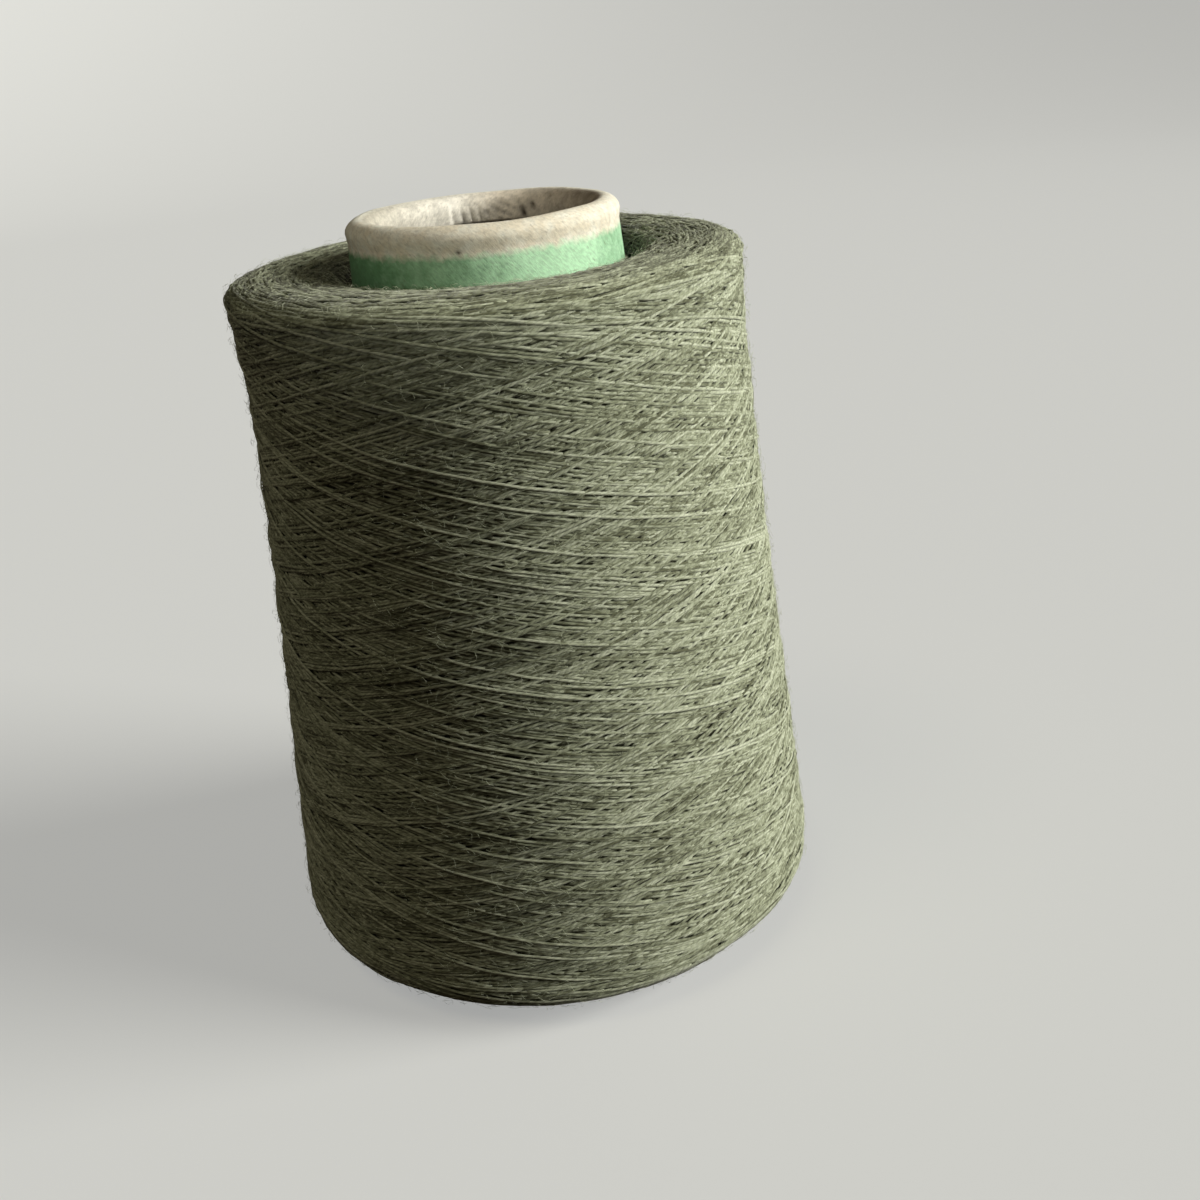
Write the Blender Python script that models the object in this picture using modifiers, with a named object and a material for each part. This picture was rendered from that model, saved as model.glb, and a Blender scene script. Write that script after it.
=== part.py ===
"""A cone of yarn: fine knitting yarn, cross-wound on a pressed-paper cone whose nose is rolled in.

Metres, +Z up the winding axis. The origin is the centre of the cone's foot, on the surface it stands on.
Two sub-parts:
  paper_cone    one turned shell, hollow right through, with a rolled lip and a turned-in hem at its nose
  yarn_package  the wound form, one solid round the cone, with low crossing bands where its turns gather
"""

import math

import bpy

MM = 0.001

# Paper cone. Radii are of its outer wall unless a name says otherwise.
CONE_HEIGHT = 170.0 * MM
NOSE_RADIUS = 28.9 * MM  # of the tapered wall, carried up to the cone's full height
CONE_TAPER = 0.0646  # radius gained for each metre down, a half angle of 3.7 degrees
WALL = 2.6 * MM
LIP_OUTER_RADIUS = 29.6 * MM
LIP_BEAD_RADIUS = 3.3 * MM
LIP_OUTER_ANGLE = -30.0  # degrees from level where the lip's bead ends on the outside
LIP_INNER_ANGLE = 205.0  # and where it ends inside the bore
NECK_DROP = 0.5 * MM  # from the bead's outer end down to the tapered wall
HEM_DEPTH = 13.0 * MM  # the paper that is turned in at the nose, measured down from the lip's crest
HEM_WALL = 1.7 * MM
FOOT_CHAMFER = 0.4 * MM
CONE_STEPS = 56
BEAD_ARC_STEPS = 8

# Yarn package.
YARN_GAP = 0.3 * MM  # between the yarn and the cone's wall
UNDERSIDE_HEIGHT = 5.0 * MM
BOTTOM_CORNER_RADIUS = 5.0 * MM
NOSE_CONTACT_HEIGHT = 156.3 * MM  # where the yarn's nose end, dished towards the cone, meets its wall
CREST_HEIGHT = 160.5 * MM
CREST_RADIUS = 48.0 * MM
SHOULDER_HEIGHT = 157.0 * MM
SHOULDER_FULLNESS = 2.1  # exponent of the shoulder's curve: 2 is an ellipse, and more is squarer
YARN_STEPS = 84
SIDE_STEPS = 30
SHOULDER_STEPS = 6
NOSE_END_STEPS = 5
CORNER_STEPS = 4

# The wound side, bottom to top, in millimetres: it is slightly hollow half way up and full at its top edge.
SIDE_COLUMNS = ("height", "radius")
SIDE_ROWS = (
    (10.0, 65.4),
    (40.0, 62.9),
    (75.0, 59.8),
    (110.0, 57.1),
    (140.0, 55.5),
    (157.0, 55.9),
)

# Soft unevenness of the winding.
BAND_COUNT = 6  # crossing bands each way round
BAND_HEIGHT = 0.3 * MM
BAND_LEAD = 87.0 * MM  # rise of one turn of yarn
BULGE = 0.7 * MM  # how far the top edge stands out towards -X, and in on the other side
BULGE_START_HEIGHT = 128.0 * MM

# Finish: linear colours, both surfaces matte.
PAPER_COLOUR = (0.50, 0.42, 0.31, 1.0)
PAPER_ROUGHNESS = 0.85
YARN_COLOUR = (0.185, 0.205, 0.125, 1.0)
YARN_ROUGHNESS = 0.95
SMOOTH_ANGLE = 35.0  # degrees, below which neighbouring faces are shaded as one surface


def clear_scene():
    for old in list(bpy.data.objects):
        bpy.data.objects.remove(old, do_unlink=True)


def new_material(name, colour, roughness):
    material = bpy.data.materials.new(name)
    material.use_nodes = True
    surface = material.node_tree.nodes["Principled BSDF"]
    surface.inputs["Base Color"].default_value = colour
    surface.inputs["Roughness"].default_value = roughness
    surface.inputs["Metallic"].default_value = 0.0
    material.diffuse_color = colour
    return material


def arc(centre, radii, start, end, steps):
    """Points on an elliptical arc in the (radius, height) plane, from one angle to another in degrees."""
    points = []
    for step in range(steps + 1):
        angle = math.radians(start + (end - start) * step / steps)
        radius = centre[0] + radii[0] * math.cos(angle)
        height = centre[1] + radii[1] * math.sin(angle)
        points.append((radius, height))
    return points


def cone_radius(height):
    """Outer radius of the cone's tapered wall."""
    return NOSE_RADIUS + CONE_TAPER * (CONE_HEIGHT - height)


def smoothstep(value):
    value = min(max(value, 0.0), 1.0)
    return value * value * (3.0 - 2.0 * value)


def turned(name, profile, steps, collection):
    """A closed profile of (radius, height) points turned about the Z axis."""
    mesh = bpy.data.meshes.new(name)
    corners = [(radius, 0.0, height) for radius, height in profile]
    edges = [(index, (index + 1) % len(corners)) for index in range(len(corners))]
    mesh.from_pydata(corners, edges, [])
    piece = bpy.data.objects.new(name, mesh)
    collection.objects.link(piece)
    screw = piece.modifiers.new("turn", "SCREW")
    screw.axis = "Z"
    screw.angle = math.tau
    screw.steps = steps
    screw.render_steps = steps
    screw.use_merge_vertices = False
    screw.use_normal_calculate = False
    return piece


def apply_modifiers(piece):
    """Gives the object its evaluated mesh, so that its points can be moved."""
    graph = bpy.context.evaluated_depsgraph_get()
    mesh = bpy.data.meshes.new_from_object(piece.evaluated_get(graph))
    old = piece.data
    piece.modifiers.clear()
    piece.data = mesh
    bpy.data.meshes.remove(old)
    mesh.name = piece.name


def shade_smooth_by_angle(piece, degrees):
    piece.data.shade_smooth()
    piece.data.set_sharp_from_angle(angle=math.radians(degrees))


def paper_cone_profile():
    """Down the outer side from the lip's crest, round the foot, up the bore and over the hem to the crest."""
    bead = (LIP_OUTER_RADIUS - LIP_BEAD_RADIUS, CONE_HEIGHT - LIP_BEAD_RADIUS)
    bead_radii = (LIP_BEAD_RADIUS, LIP_BEAD_RADIUS)
    outer_lip = arc(bead, bead_radii, 90.0, LIP_OUTER_ANGLE, BEAD_ARC_STEPS)
    neck_height = outer_lip[-1][1] - NECK_DROP
    hem_edge_height = CONE_HEIGHT - HEM_DEPTH
    foot_radius = cone_radius(0.0)
    outer_wall = [
        (cone_radius(neck_height), neck_height),
        (cone_radius(hem_edge_height), hem_edge_height),
        (cone_radius(FOOT_CHAMFER), FOOT_CHAMFER),
    ]
    foot = [
        (foot_radius - FOOT_CHAMFER, 0.0),
        (foot_radius - WALL + FOOT_CHAMFER, 0.0),
        (cone_radius(FOOT_CHAMFER) - WALL, FOOT_CHAMFER),
    ]
    bore = [
        (cone_radius(hem_edge_height - HEM_WALL) - WALL, hem_edge_height - HEM_WALL),
        (cone_radius(hem_edge_height) - WALL - HEM_WALL, hem_edge_height),
    ]
    inner_lip = arc(bead, bead_radii, LIP_INNER_ANGLE, 90.0, BEAD_ARC_STEPS)
    return outer_lip + outer_wall + foot + bore + inner_lip[:-1]


def side_radius(height):
    """Outer radius of the wound side: a smooth curve through the rows of SIDE_ROWS."""
    rows = [{name: value * MM for name, value in zip(SIDE_COLUMNS, row)} for row in SIDE_ROWS]
    index = 0
    while index < len(rows) - 2 and height > rows[index + 1]["height"]:
        index += 1
    low, high = rows[index], rows[index + 1]
    span = high["height"] - low["height"]
    part = (height - low["height"]) / span

    def slope(at):
        before, after = rows[max(at - 1, 0)], rows[min(at + 1, len(rows) - 1)]
        return (after["radius"] - before["radius"]) / (after["height"] - before["height"])

    blend = smoothstep(part)
    leaving = slope(index) * span * part * (1.0 - part) ** 2
    arriving = slope(index + 1) * span * (1.0 - part) * part**2
    return low["radius"] * (1.0 - blend) + high["radius"] * blend + leaving - arriving


def yarn_profile():
    """Over the nose end from the cone, down the wound side, round the bottom corner and back up the bore."""
    crest_run = CREST_RADIUS - (cone_radius(NOSE_CONTACT_HEIGHT) + YARN_GAP)
    crest_rise = CREST_HEIGHT - NOSE_CONTACT_HEIGHT
    nose_end = arc((CREST_RADIUS, NOSE_CONTACT_HEIGHT), (crest_run, crest_rise), 180.0, 90.0, NOSE_END_STEPS)
    shoulder = []
    shoulder_run = side_radius(SHOULDER_HEIGHT) - CREST_RADIUS
    shoulder_rise = CREST_HEIGHT - SHOULDER_HEIGHT
    for step in range(1, SHOULDER_STEPS):
        angle = math.radians(90.0 - 90.0 * step / SHOULDER_STEPS)
        power = 2.0 / SHOULDER_FULLNESS
        radius = CREST_RADIUS + shoulder_run * math.cos(angle) ** power
        height = SHOULDER_HEIGHT + shoulder_rise * math.sin(angle) ** power
        shoulder.append((radius, height))
    side = []
    side_foot = UNDERSIDE_HEIGHT + BOTTOM_CORNER_RADIUS
    for step in range(SIDE_STEPS + 1):
        height = SHOULDER_HEIGHT + (side_foot - SHOULDER_HEIGHT) * step / SIDE_STEPS
        side.append((side_radius(height), height))
    corner_centre = (side[-1][0] - BOTTOM_CORNER_RADIUS, side_foot)
    corner_radii = (BOTTOM_CORNER_RADIUS, BOTTOM_CORNER_RADIUS)
    corner = arc(corner_centre, corner_radii, 0.0, -90.0, CORNER_STEPS)[1:]
    bore_foot = [(cone_radius(UNDERSIDE_HEIGHT) + YARN_GAP, UNDERSIDE_HEIGHT)]
    return nose_end + shoulder + side + corner + bore_foot


def winding_relief(angle, height):
    """How far the wound surface stands out at a place on its side: crossing bands, and a full top edge."""
    turn = math.tau * height / BAND_LEAD
    bands = math.cos(BAND_COUNT * (angle - turn)) + math.cos(BAND_COUNT * (angle + turn))
    rise = smoothstep((height - BULGE_START_HEIGHT) / (SHOULDER_HEIGHT - BULGE_START_HEIGHT))
    return 0.5 * BAND_HEIGHT * bands - BULGE * rise * math.cos(angle)


def raise_winding(piece):
    """Moves the wound side outwards by its relief, fading to nothing towards both ends of the package."""
    fade_run = CREST_RADIUS - (cone_radius(NOSE_CONTACT_HEIGHT) + YARN_GAP)
    for vertex in piece.data.vertices:
        point = vertex.co
        radius = math.hypot(point.x, point.y)
        wall = cone_radius(point.z) + YARN_GAP
        share = smoothstep((radius - wall) / fade_run)
        share *= smoothstep((point.z - UNDERSIDE_HEIGHT) / BOTTOM_CORNER_RADIUS)
        moved = radius + share * winding_relief(math.atan2(point.y, point.x), point.z)
        point.x *= moved / radius
        point.y *= moved / radius
    piece.data.update()


def build():
    clear_scene()
    collection = bpy.data.collections.new("cone_of_yarn")
    bpy.context.scene.collection.children.link(collection)

    paper_cone = turned("paper_cone", paper_cone_profile(), CONE_STEPS, collection)
    paper_cone.data.materials.append(new_material("pressed_paper", PAPER_COLOUR, PAPER_ROUGHNESS))
    apply_modifiers(paper_cone)
    shade_smooth_by_angle(paper_cone, SMOOTH_ANGLE)

    yarn_package = turned("yarn_package", yarn_profile(), YARN_STEPS, collection)
    yarn_package.data.materials.append(new_material("wound_yarn", YARN_COLOUR, YARN_ROUGHNESS))
    apply_modifiers(yarn_package)
    raise_winding(yarn_package)
    shade_smooth_by_angle(yarn_package, SMOOTH_ANGLE)


build()
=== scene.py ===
import math

import bpy
import numpy as np
from mathutils import Matrix, Vector


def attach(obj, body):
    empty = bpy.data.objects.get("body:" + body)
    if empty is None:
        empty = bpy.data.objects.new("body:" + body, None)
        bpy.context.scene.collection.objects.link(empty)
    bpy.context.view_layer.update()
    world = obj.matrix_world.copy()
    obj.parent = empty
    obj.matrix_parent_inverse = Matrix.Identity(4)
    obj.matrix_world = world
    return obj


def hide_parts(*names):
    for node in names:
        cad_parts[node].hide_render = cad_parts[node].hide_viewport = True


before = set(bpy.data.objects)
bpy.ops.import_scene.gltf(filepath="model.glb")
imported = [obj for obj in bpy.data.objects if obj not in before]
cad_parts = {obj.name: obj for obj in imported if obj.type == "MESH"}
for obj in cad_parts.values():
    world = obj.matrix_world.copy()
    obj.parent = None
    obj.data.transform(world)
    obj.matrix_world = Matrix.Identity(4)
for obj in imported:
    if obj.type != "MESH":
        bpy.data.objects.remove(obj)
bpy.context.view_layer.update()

MM = 0.001


# The view: a phone held a little above the cone and close to it, turned slightly, as in the photograph.
# It stands on the -Y side, so the light from the right comes from +X.
CAMERA_BACK = 280.6 * MM  # from the cone's axis
CAMERA_HEIGHT = 203.7 * MM
CAMERA_YAW = math.radians(3.52)  # to the right
CAMERA_PITCH = math.radians(24.73)  # down
CAMERA_ROLL = math.radians(-5.44)
CAMERA_LENS = 37.62  # millimetres, on a sensor 36 mm wide

ahead = Vector((
    math.sin(CAMERA_YAW) * math.cos(CAMERA_PITCH),
    math.cos(CAMERA_YAW) * math.cos(CAMERA_PITCH),
    -math.sin(CAMERA_PITCH),
))
level = Vector((math.cos(CAMERA_YAW), -math.sin(CAMERA_YAW), 0.0))
upright = level.cross(ahead)
across = math.cos(CAMERA_ROLL) * level + math.sin(CAMERA_ROLL) * upright
along = -math.sin(CAMERA_ROLL) * level + math.cos(CAMERA_ROLL) * upright
bpy.ops.object.select_all(action="DESELECT")
bpy.ops.object.camera_add(location=(0.0, -CAMERA_BACK, CAMERA_HEIGHT))
camera = bpy.context.object
camera.name = "camera"
camera.rotation_euler = Matrix((across, along, -ahead)).transposed().to_euler()
camera.data.sensor_width = 36.0
camera.data.lens = CAMERA_LENS
camera.data.clip_start = 0.01
bpy.context.scene.camera = camera
bpy.context.scene.view_settings.view_transform = "Standard"


# Floor and light: a pale floor, one broad soft light from the right, a weak side light, a small soft
# spot on the nose and a weak even fill. The floor shows pale and sends little light back, so the side
# away from the light stays deep.
FLOOR_RADIUS = 1.6
FLOOR_SIDES = 96
FLOOR_ROUGHNESS = 0.9
SWEEP_RADIUS = 1.6  # the floor's rim sweeps up all round, so no horizon shows
SWEEP_TURN = math.radians(60.0)
SWEEP_STEPS = 16
FLOOR_SEEN = "#9C9D9B"
FLOOR_GLOW = "#E9EAE8"
FLOOR_SENT_BACK = "#3A322B"
FLOOR_LIFT = 0.45  # light that the floor shows of its own, which softens the shadow on it
KEY_TURN = math.radians(80.0)  # from the camera's side towards +X
KEY_RISE = math.radians(21.0)
KEY_SPREAD = math.radians(32.0)  # how wide the soft light looks from the cone
KEY_STRENGTH = 5.9
KEY_COLOUR = "#FFFDF6"
FILL_ABOVE = "#F0EBDD"
FILL_BELOW = "#8F8676"
FILL_STRENGTH = 0.035
ROOM_SEEN = "#CDCDC8"  # what a low view sees of the room above the sweep; it sends no light
SIDE_TURN = math.radians(-62.0)  # a weak warm light from the upper left keeps the turns there readable
SIDE_RISE = math.radians(66.0)
SIDE_SPREAD = math.radians(22.0)
SIDE_STRENGTH = 0.42
SIDE_COLOUR = "#FFF4D6"
NOSE_LIGHT_TURN = math.radians(-6.0)  # a small soft spot, on the paper nose and into its bore
NOSE_LIGHT_RISE = math.radians(8.0)
NOSE_LIGHT_AWAY = 600.0 * MM
NOSE_LIGHT_AIM = Vector((0.0, -10.0 * MM, 184.0 * MM))
NOSE_LIGHT_BEAM = math.radians(7.0)
NOSE_LIGHT_POWER = 6.2
NOSE_LIGHT_SIZE = 40.0 * MM


def linear(colour):
    """The linear RGBA of an sRGB colour written as #RRGGBB."""
    values = []
    for start in (1, 3, 5):
        value = int(colour[start : start + 2], 16) / 255.0
        values.append(value / 12.92 if value <= 0.04045 else ((value + 0.055) / 1.055) ** 2.4)
    return (*values, 1.0)


def set_inputs(node, inputs):
    """Sets inputs, by name or in order, to values, colours, sockets or what other nodes give."""
    if isinstance(inputs, dict):
        pairs = [(node.inputs[name], value) for name, value in inputs.items()]
    else:
        pairs = zip([socket for socket in node.inputs if socket.enabled], inputs)
    for socket, value in pairs:
        if isinstance(value, bpy.types.Node):
            value = next(output for output in value.outputs if output.enabled)
        if isinstance(value, bpy.types.NodeSocket):
            node.id_data.links.new(value, socket)
        else:
            socket.default_value = linear(value) if isinstance(value, str) else value


def add_node(tree, kind, inputs=(), stops=(), **settings):
    """A node with its settings and links, and a colour ramp's stops as positions and colours."""
    node = tree.nodes.new("ShaderNode" + kind)
    for name, value in settings.items():
        setattr(node, name, value)
    set_inputs(node, inputs)
    if stops:
        elements = node.color_ramp.elements
        for element, (position, colour) in zip(elements, (stops[0], stops[-1])):
            element.position, element.color = position, linear(colour)
        for position, colour in stops[1:-1]:
            elements.new(position).color = linear(colour)
    return node


def new_material(name):
    """A material, with its node tree and its surface shader."""
    material = bpy.data.materials.new(name)
    material.use_nodes = True
    return material, material.node_tree, material.node_tree.nodes["Principled BSDF"]


# Matte floor paint: the camera sees it pale, and to all other light it is dark.
floor_paint, tree, surface = new_material("matte_floor_paint")
set_inputs(surface, {
    "Base Color": FLOOR_SEEN,
    "Roughness": FLOOR_ROUGHNESS,
    "Specular IOR Level": 0.2,
    "Emission Color": FLOOR_GLOW,
    "Emission Strength": FLOOR_LIFT,
})
sent_back = add_node(tree, "BsdfDiffuse", {"Color": FLOOR_SENT_BACK})
seen = add_node(tree, "LightPath").outputs["Is Camera Ray"]
shown = add_node(tree, "MixShader", (seen, sent_back, surface))
set_inputs(tree.nodes["Material Output"], {"Surface": shown})

bpy.ops.object.select_all(action="DESELECT")
bpy.ops.mesh.primitive_circle_add(vertices=FLOOR_SIDES, radius=FLOOR_RADIUS, fill_type="NGON")
floor = bpy.context.object
floor.name = "floor"
bpy.ops.object.mode_set(mode="EDIT")
bpy.ops.mesh.select_all(action="SELECT")
bpy.ops.mesh.region_to_loop()
last = Vector((FLOOR_RADIUS, 0.0))
for step in range(1, SWEEP_STEPS + 1):
    turn = SWEEP_TURN * step / SWEEP_STEPS
    point = Vector((
        FLOOR_RADIUS + SWEEP_RADIUS * math.sin(turn),
        SWEEP_RADIUS * (1.0 - math.cos(turn)),
    ))
    grown = point.x / last.x
    bpy.ops.mesh.extrude_region_move(TRANSFORM_OT_translate={"value": (0.0, 0.0, point.y - last.y)})
    bpy.ops.transform.resize(value=(grown, grown, 1.0), center_override=(0.0, 0.0, point.y))
    last = point
bpy.ops.object.mode_set(mode="OBJECT")
floor.data.shade_smooth()
floor.data.materials.append(floor_paint)


def add_light(kind, name, turn, rise, power, colour, aim=Vector(), away=1.0):
    """A light at a turn and a rise, that shines at aim; how far away it is matters only to a spot."""
    way = Vector((math.sin(turn) * math.cos(rise), -math.cos(turn) * math.cos(rise), math.sin(rise)))
    bpy.ops.object.light_add(type=kind, location=aim + away * way)
    light = bpy.context.object
    light.name = name
    light.rotation_euler = way.to_track_quat("Z", "Y").to_euler()
    light.data.energy = power
    light.data.color = linear(colour)[:3]
    return light.data


add_light("SUN", "key_light", KEY_TURN, KEY_RISE, KEY_STRENGTH, KEY_COLOUR).angle = KEY_SPREAD
add_light("SUN", "side_light", SIDE_TURN, SIDE_RISE, SIDE_STRENGTH, SIDE_COLOUR).angle = SIDE_SPREAD
nose_light = add_light(
    "SPOT", "nose_light", NOSE_LIGHT_TURN, NOSE_LIGHT_RISE, NOSE_LIGHT_POWER, KEY_COLOUR,
    NOSE_LIGHT_AIM, NOSE_LIGHT_AWAY,
)
nose_light.spot_size = NOSE_LIGHT_BEAM
nose_light.spot_blend = 1.0
nose_light.shadow_soft_size = NOSE_LIGHT_SIZE

world = bpy.data.worlds.new("soft_room")
world.use_nodes = True
tree = world.node_tree
looking = add_node(tree, "TexCoord").outputs["Generated"]
overhead = add_node(tree, "SeparateXYZ", (looking,)).outputs["Z"]
rise_of_fill = add_node(tree, "MapRange", (overhead, -0.3, 0.9))
fill = add_node(tree, "Mix", (rise_of_fill, FILL_BELOW, FILL_ABOVE), data_type="RGBA")
set_inputs(tree.nodes["Background"], {"Color": fill, "Strength": FILL_STRENGTH})
room_seen = add_node(tree, "Background", {"Color": ROOM_SEEN})
seen = add_node(tree, "LightPath").outputs["Is Camera Ray"]
room = add_node(tree, "MixShader", (seen, tree.nodes["Background"], room_seen))
set_inputs(tree.nodes["World Output"], {"Surface": room})
bpy.context.scene.world = world


# Paper cone: one sheet of grey-cream pressed paper, wound and glued to a tapered tube. Its nose is
# rolled in to a round lip, the turned-in paper is crimped in pleats, and the nose is dyed green outside.
CONE_HEIGHT = 170.0 * MM
NOSE_RADIUS = 28.9 * MM
CONE_TAPER = 0.0646
WALL = 2.6 * MM
LIP_OUTER_RADIUS = 29.6 * MM
LIP_BEAD_RADIUS = 3.3 * MM
LIP_OUTER_ANGLE = -30.0
LIP_INNER_ANGLE = 205.0
NECK_DROP = 0.5 * MM
HEM_DEPTH = 13.0 * MM
HEM_WALL = 1.7 * MM
FOOT_CHAMFER = 0.4 * MM
CONE_SIDES = 360
LIP_STEPS = 18
RING_SPACING = 0.8 * MM  # on the parts of the nose that show
WALL_RINGS = 8  # on the wall that the yarn covers
SEAM_ANGLE = math.radians(109.0)  # where the sheet's edge laps inside the nose
SEAM_STEP = 0.22 * MM
SEAM_EDGE = math.radians(1.2)  # its width
SEAM_RUN = math.radians(150.0)  # how far round the lapped paper stands proud
PLEAT_SPACING = math.radians(5.2)
PLEAT_DEPTH = 0.42 * MM
PLEAT_MIDDLE = math.radians(100.0)
PLEAT_SPREAD = math.radians(13.0)
PLEAT_FAINT = 0.12  # share of their depth that the pleats keep farther round
PLEAT_UNEVEN = 0.35  # share of their spacing
PLEAT_START = 1.6 * MM  # below the crest of the lip; from here they deepen
PLEAT_DEEPENING = 4.0 * MM
PLEAT_LEAN = 9.0  # radians of turn for each metre down
WRINKLE_SPACING = math.radians(8.0)  # beside the pleats the turned-in paper only wrinkles, slantwise
WRINKLE_DEPTH = 0.4 * MM
WRINKLE_MIDDLE = math.radians(77.0)
WRINKLE_SPREAD = math.radians(14.0)
WRINKLE_LEAN = 70.0  # radians of turn for each metre down
WRINKLE_START = 1.2 * MM  # below the crest of the lip
WRINKLE_DEEPENING = 1.6 * MM
CRIMPS = (  # two nips in the turned-in paper, darkened with painted shade: the angle, height and half length of each
    (math.radians(66.5), 164.9 * MM, 1.4 * MM),
    (math.radians(60.0), 166.7 * MM, 0.8 * MM),
)
CRIMP_DEPTH = 0.5 * MM
CRIMP_WIDTH = 0.62 * MM
HEM_LINE = 163.3 * MM  # where the turned-in paper ends at the back, over a step darkened with painted shade
HEM_STEP = 1.1 * MM
HEM_EDGE = 0.3 * MM  # over which the step falls
HEM_FADE = 0.2  # radians over which it fades out at its ends
HEM_MIDDLE = math.radians(78.0)
HEM_SPREAD = math.radians(34.0)
LIP_SIDE_RADIUS = 29.3 * MM  # the lip's outer side stands hardly prouder than the wall
LIP_SIDE_TOP = 1.2 * MM  # above the middle of the bead
LIP_SIDE_FADE = 2.0 * MM
NOSE_FADE = 6.0 * MM  # the nose's unevenness grows from the hem up
INSIDE_EDGE = 1.2 * MM
NICK = (math.radians(-101.0), 165.0 * MM)
NICK_WIDTH = 0.55 * MM
NICK_HEIGHT = 0.4 * MM
# how dark the painted shade is in the pleats' grooves, the wrinkles and the nips
PLEAT_PAINTED_SHADE = 0.35
WRINKLE_PAINTED_SHADE = 0.45
CRIMP_PAINTED_SHADE = 0.9
LIP_WAVE = 0.1 * MM
PAPER_SEED = 4


def cone_radius(height):
    """Outer radius of the cone's tapered wall."""
    return NOSE_RADIUS + CONE_TAPER * (CONE_HEIGHT - height)


def smoothstep(value):
    value = np.clip(value, 0.0, 1.0)
    return value * value * (3.0 - 2.0 * value)


def spaced(start, end, spacing):
    """Points (radius, height) along a straight line, evenly spaced, without its first point."""
    start, end = np.array(start), np.array(end)
    count = max(1, round(np.linalg.norm(end - start) / spacing))
    return [tuple(start + (end - start) * step / count) for step in range(1, count + 1)]


def arc(centre, radii, start, end, steps):
    """Points (radius, height) on an elliptical arc from one angle to another, in degrees."""
    angles = np.radians(np.linspace(start, end, steps + 1))
    return [(centre[0] + radii[0] * math.cos(a), centre[1] + radii[1] * math.sin(a)) for a in angles]


bead = (LIP_OUTER_RADIUS - LIP_BEAD_RADIUS, CONE_HEIGHT - LIP_BEAD_RADIUS)
bead_radii = (LIP_BEAD_RADIUS, LIP_BEAD_RADIUS)
lip = arc(bead, bead_radii, LIP_OUTER_ANGLE, LIP_INNER_ANGLE, LIP_STEPS)
neck = (cone_radius(lip[0][1] - NECK_DROP), lip[0][1] - NECK_DROP)
hem_height = CONE_HEIGHT - HEM_DEPTH
hem_inside = (cone_radius(hem_height) - WALL - HEM_WALL, hem_height)
hem_outside = (cone_radius(hem_height - HEM_WALL) - WALL, hem_height - HEM_WALL)
band_foot = (cone_radius(hem_height), hem_height)
foot = (cone_radius(FOOT_CHAMFER), FOOT_CHAMFER)
foot_rim = [
    (cone_radius(0.0) - FOOT_CHAMFER, 0.0),
    (cone_radius(0.0) - WALL + FOOT_CHAMFER, 0.0),
    (cone_radius(FOOT_CHAMFER) - WALL, FOOT_CHAMFER),
]
wall_spacing = (hem_height - FOOT_CHAMFER) / WALL_RINGS
rings = spaced(foot, band_foot, wall_spacing) + spaced(band_foot, neck, RING_SPACING) + lip
rings += spaced(lip[-1], hem_inside, RING_SPACING) + spaced(hem_inside, hem_outside, RING_SPACING)
rings += spaced(hem_outside, foot_rim[-1], wall_spacing) + foot_rim[-2::-1]


def turned_shell(name, sides, rings):
    """A shell extruded ring by ring, each a radius and a height, and bridged from last to first."""
    radius, height = rings[0]
    bpy.ops.object.select_all(action="DESELECT")
    bpy.ops.mesh.primitive_circle_add(vertices=sides, radius=radius, location=(0.0, 0.0, height))
    bpy.ops.object.transform_apply(location=True)
    shell = bpy.context.object
    shell.name = name
    shell.data.name = name
    bpy.ops.object.mode_set(mode="EDIT")
    bpy.ops.mesh.select_all(action="SELECT")
    for (last_radius, last_height), (radius, height) in zip(rings, rings[1:]):
        step = (0.0, 0.0, height - last_height)
        bpy.ops.mesh.extrude_region_move(TRANSFORM_OT_translate={"value": step})
        grown = radius / last_radius
        bpy.ops.transform.resize(value=(grown, grown, 1.0), center_override=(0.0, 0.0, height))
    bpy.ops.mesh.select_all(action="DESELECT")
    bpy.ops.mesh.select_non_manifold()
    bpy.ops.mesh.bridge_edge_loops()
    bpy.ops.mesh.select_all(action="SELECT")
    bpy.ops.mesh.normals_make_consistent(inside=False)
    bpy.ops.object.mode_set(mode="OBJECT")
    return shell


cone = turned_shell("cone", CONE_SIDES, [foot, *rings])


def read_points(piece):
    points = np.empty(len(piece.data.vertices) * 3)
    piece.data.vertices.foreach_get("co", points)
    return points.reshape(-1, 3)


def write_points(piece, points):
    piece.data.vertices.foreach_set("co", points.ravel())
    piece.data.update()


def short_way(turn):
    """A turn brought between half a turn back and half a turn on."""
    return (turn + math.pi) % math.tau - math.pi


def waves(angle, counts, rng):
    """A smooth wave round the axis, from a few whole-number waves of random phase, about -1 to 1."""
    phases = rng.uniform(0.0, math.tau, len(counts))
    total = sum(np.cos(count * angle + phase) for count, phase in zip(counts, phases))
    return total / math.sqrt(len(counts))


# The nose: an uneven lip, the lapped edge of the sheet, and pleats that deepen down the inside.
rng = np.random.default_rng(PAPER_SEED)
points = read_points(cone)
angle = np.arctan2(points[:, 1], points[:, 0])
radius = np.hypot(points[:, 0], points[:, 1])
height = points[:, 2].copy()
on_nose = smoothstep((height - hem_height) / NOSE_FADE)
inside = smoothstep((bead[0] - radius) / INSIDE_EDGE)
inside = inside * smoothstep((height - (hem_height - HEM_WALL)) / MM)
down = CONE_HEIGHT - height
turned = angle + PLEAT_LEAN * down
off_middle = short_way(turned - PLEAT_MIDDLE)
near_middle = np.exp(-((off_middle / PLEAT_SPREAD) ** 2))
crimped = PLEAT_FAINT + (1.0 - PLEAT_FAINT) * near_middle * smoothstep((SEAM_ANGLE - angle) / 0.05)
uneven = PLEAT_UNEVEN * waves(angle, (3, 7, 11), rng)
pleat = np.abs(np.sin(math.pi * (turned / PLEAT_SPACING + uneven)))
groove = (1.0 - pleat) ** 2.0
deeper = smoothstep((down - PLEAT_START) / PLEAT_DEEPENING)
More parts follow.
